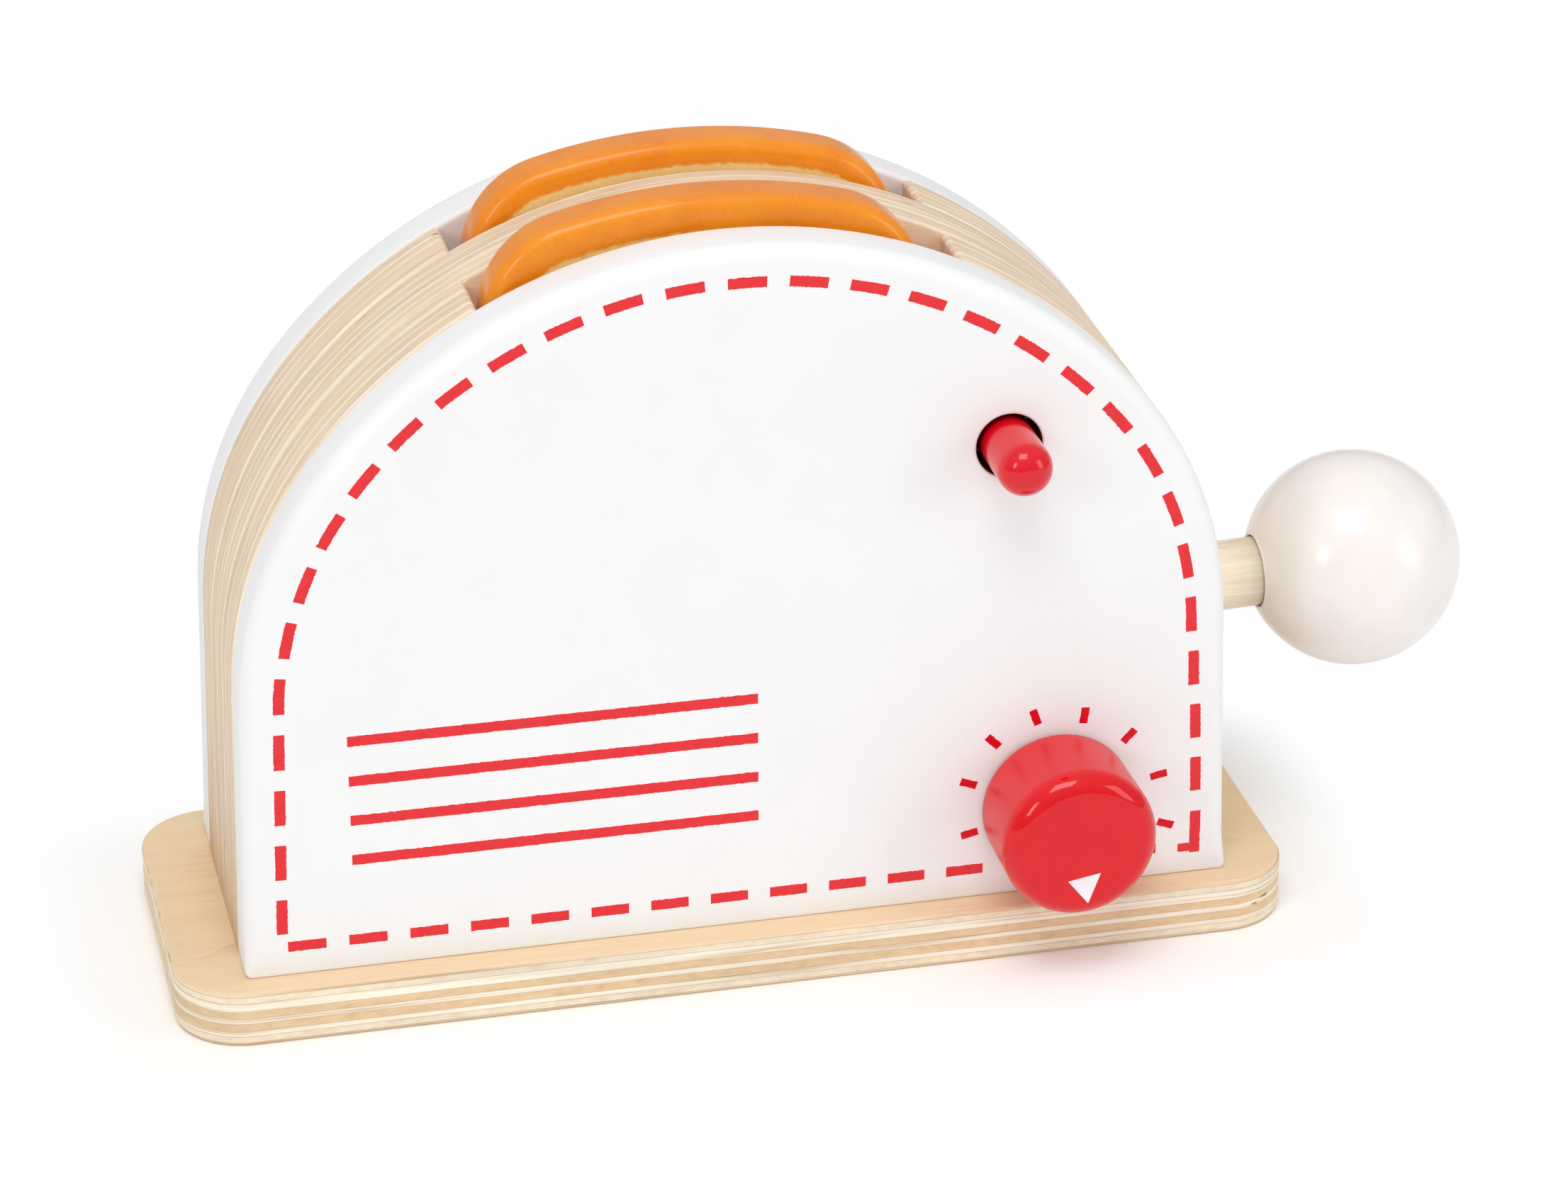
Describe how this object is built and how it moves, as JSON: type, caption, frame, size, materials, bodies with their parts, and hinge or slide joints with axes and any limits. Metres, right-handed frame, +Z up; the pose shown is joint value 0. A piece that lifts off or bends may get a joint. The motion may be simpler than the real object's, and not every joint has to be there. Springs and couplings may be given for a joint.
{
  "type": "toy toaster",
  "caption": "Free-standing wooden toy toaster on a plywood plate, with wooden slices in its slots, a side lever that lifts them, a turning dial and a push button.",
  "frame": {"origin": "centre of the base plate's underside", "axes": "+X along the boards towards the lever's ball, the printed front panel faces -Y, +Z up"},
  "size_m": [0.2477, 0.0863, 0.1471],
  "materials": {
    "birch_ply_base": "clear satin",
    "white_lacquer_front": "white satin lacquer",
    "white_lacquer_back": "white satin lacquer",
    "birch_ply_front_layer": "bare sanded plywood",
    "birch_ply_divider": "bare sanded plywood",
    "birch_ply_rear_layer": "bare sanded plywood",
    "toast_front": "printed satin",
    "toast_rear": "printed satin",
    "beech_rod": "clear satin",
    "white_gloss_ball": "white gloss lacquer",
    "steel_pin": "plain",
    "beech_bar": "bare sanded",
    "red_gloss_knob": "red gloss lacquer",
    "beech_spindle": "bare sanded",
    "felt": "felt",
    "steel_washer": "plain",
    "steel_dial_screw": "zinc plated",
    "red_gloss_button": "red gloss lacquer",
    "collar": "bare",
    "steel_button_screw": "zinc plated",
    "steel_spring": "plain",
    "steel_base_screws": "zinc plated",
    "beech_dowels": "bare"
  },
  "bodies": {
    "housing": {"base_plate": "birch_ply_base", "front_panel": "white_lacquer_front", "back_panel": "white_lacquer_back", "front_slot_layer": "birch_ply_front_layer", "divider_layer": "birch_ply_divider", "rear_slot_layer": "birch_ply_rear_layer", "lever_pivot_pin": "steel_pin", "base_screws": "steel_base_screws", "layer_dowels": "beech_dowels", "dial_felt_washer": "felt"},
    "lever": {"lever_rod": "beech_rod", "lever_ball": "white_gloss_ball"},
    "lift": {"lift_bar": "beech_bar"},
    "front_slice": {"front_toast": "toast_front"},
    "rear_slice": {"rear_toast": "toast_rear"},
    "dial": {"dial_knob": "red_gloss_knob", "dial_spindle": "beech_spindle", "dial_retaining_washer": "steel_washer", "dial_screw": "steel_dial_screw"},
    "button": {"push_button": "red_gloss_button", "button_collar": "collar", "button_screw": "steel_button_screw", "button_spring": "steel_spring"}
  },
  "joints": [
    {"name": "lever_hinge", "type": "hinge", "parent": "housing", "child": "lever", "pos_m": [0.055, 0, 0.0536], "axis": [0, 1, 0], "range_deg": [0, 20]},
    {"name": "lift_slide", "type": "slide", "parent": "housing", "child": "lift", "axis": [0, 0, 1], "range_m": [0, 0.0207]},
    {"name": "front_slice_slide", "type": "slide", "parent": "lift", "child": "front_slice", "axis": [0, 0, 1], "range_m": [0, 0.1]},
    {"name": "rear_slice_slide", "type": "slide", "parent": "lift", "child": "rear_slice", "axis": [0, 0, 1], "range_m": [0, 0.1]},
    {"name": "dial_turn", "type": "hinge", "parent": "housing", "child": "dial", "pos_m": [0.0581, -0.04, 0.0285], "axis": [0, 1, 0], "continuous": true},
    {"name": "button_push", "type": "slide", "parent": "housing", "child": "button", "axis": [0, 1, 0], "range_m": [0, 0.008], "stiffness_N_per_m": 150, "springref_m": -0.004, "deforming": ["button_spring"]}
  ],
  "couplings": [
    {"joint": "lift_slide", "follows": "lever_hinge", "m_per_rad": 0.0592}
  ]
}
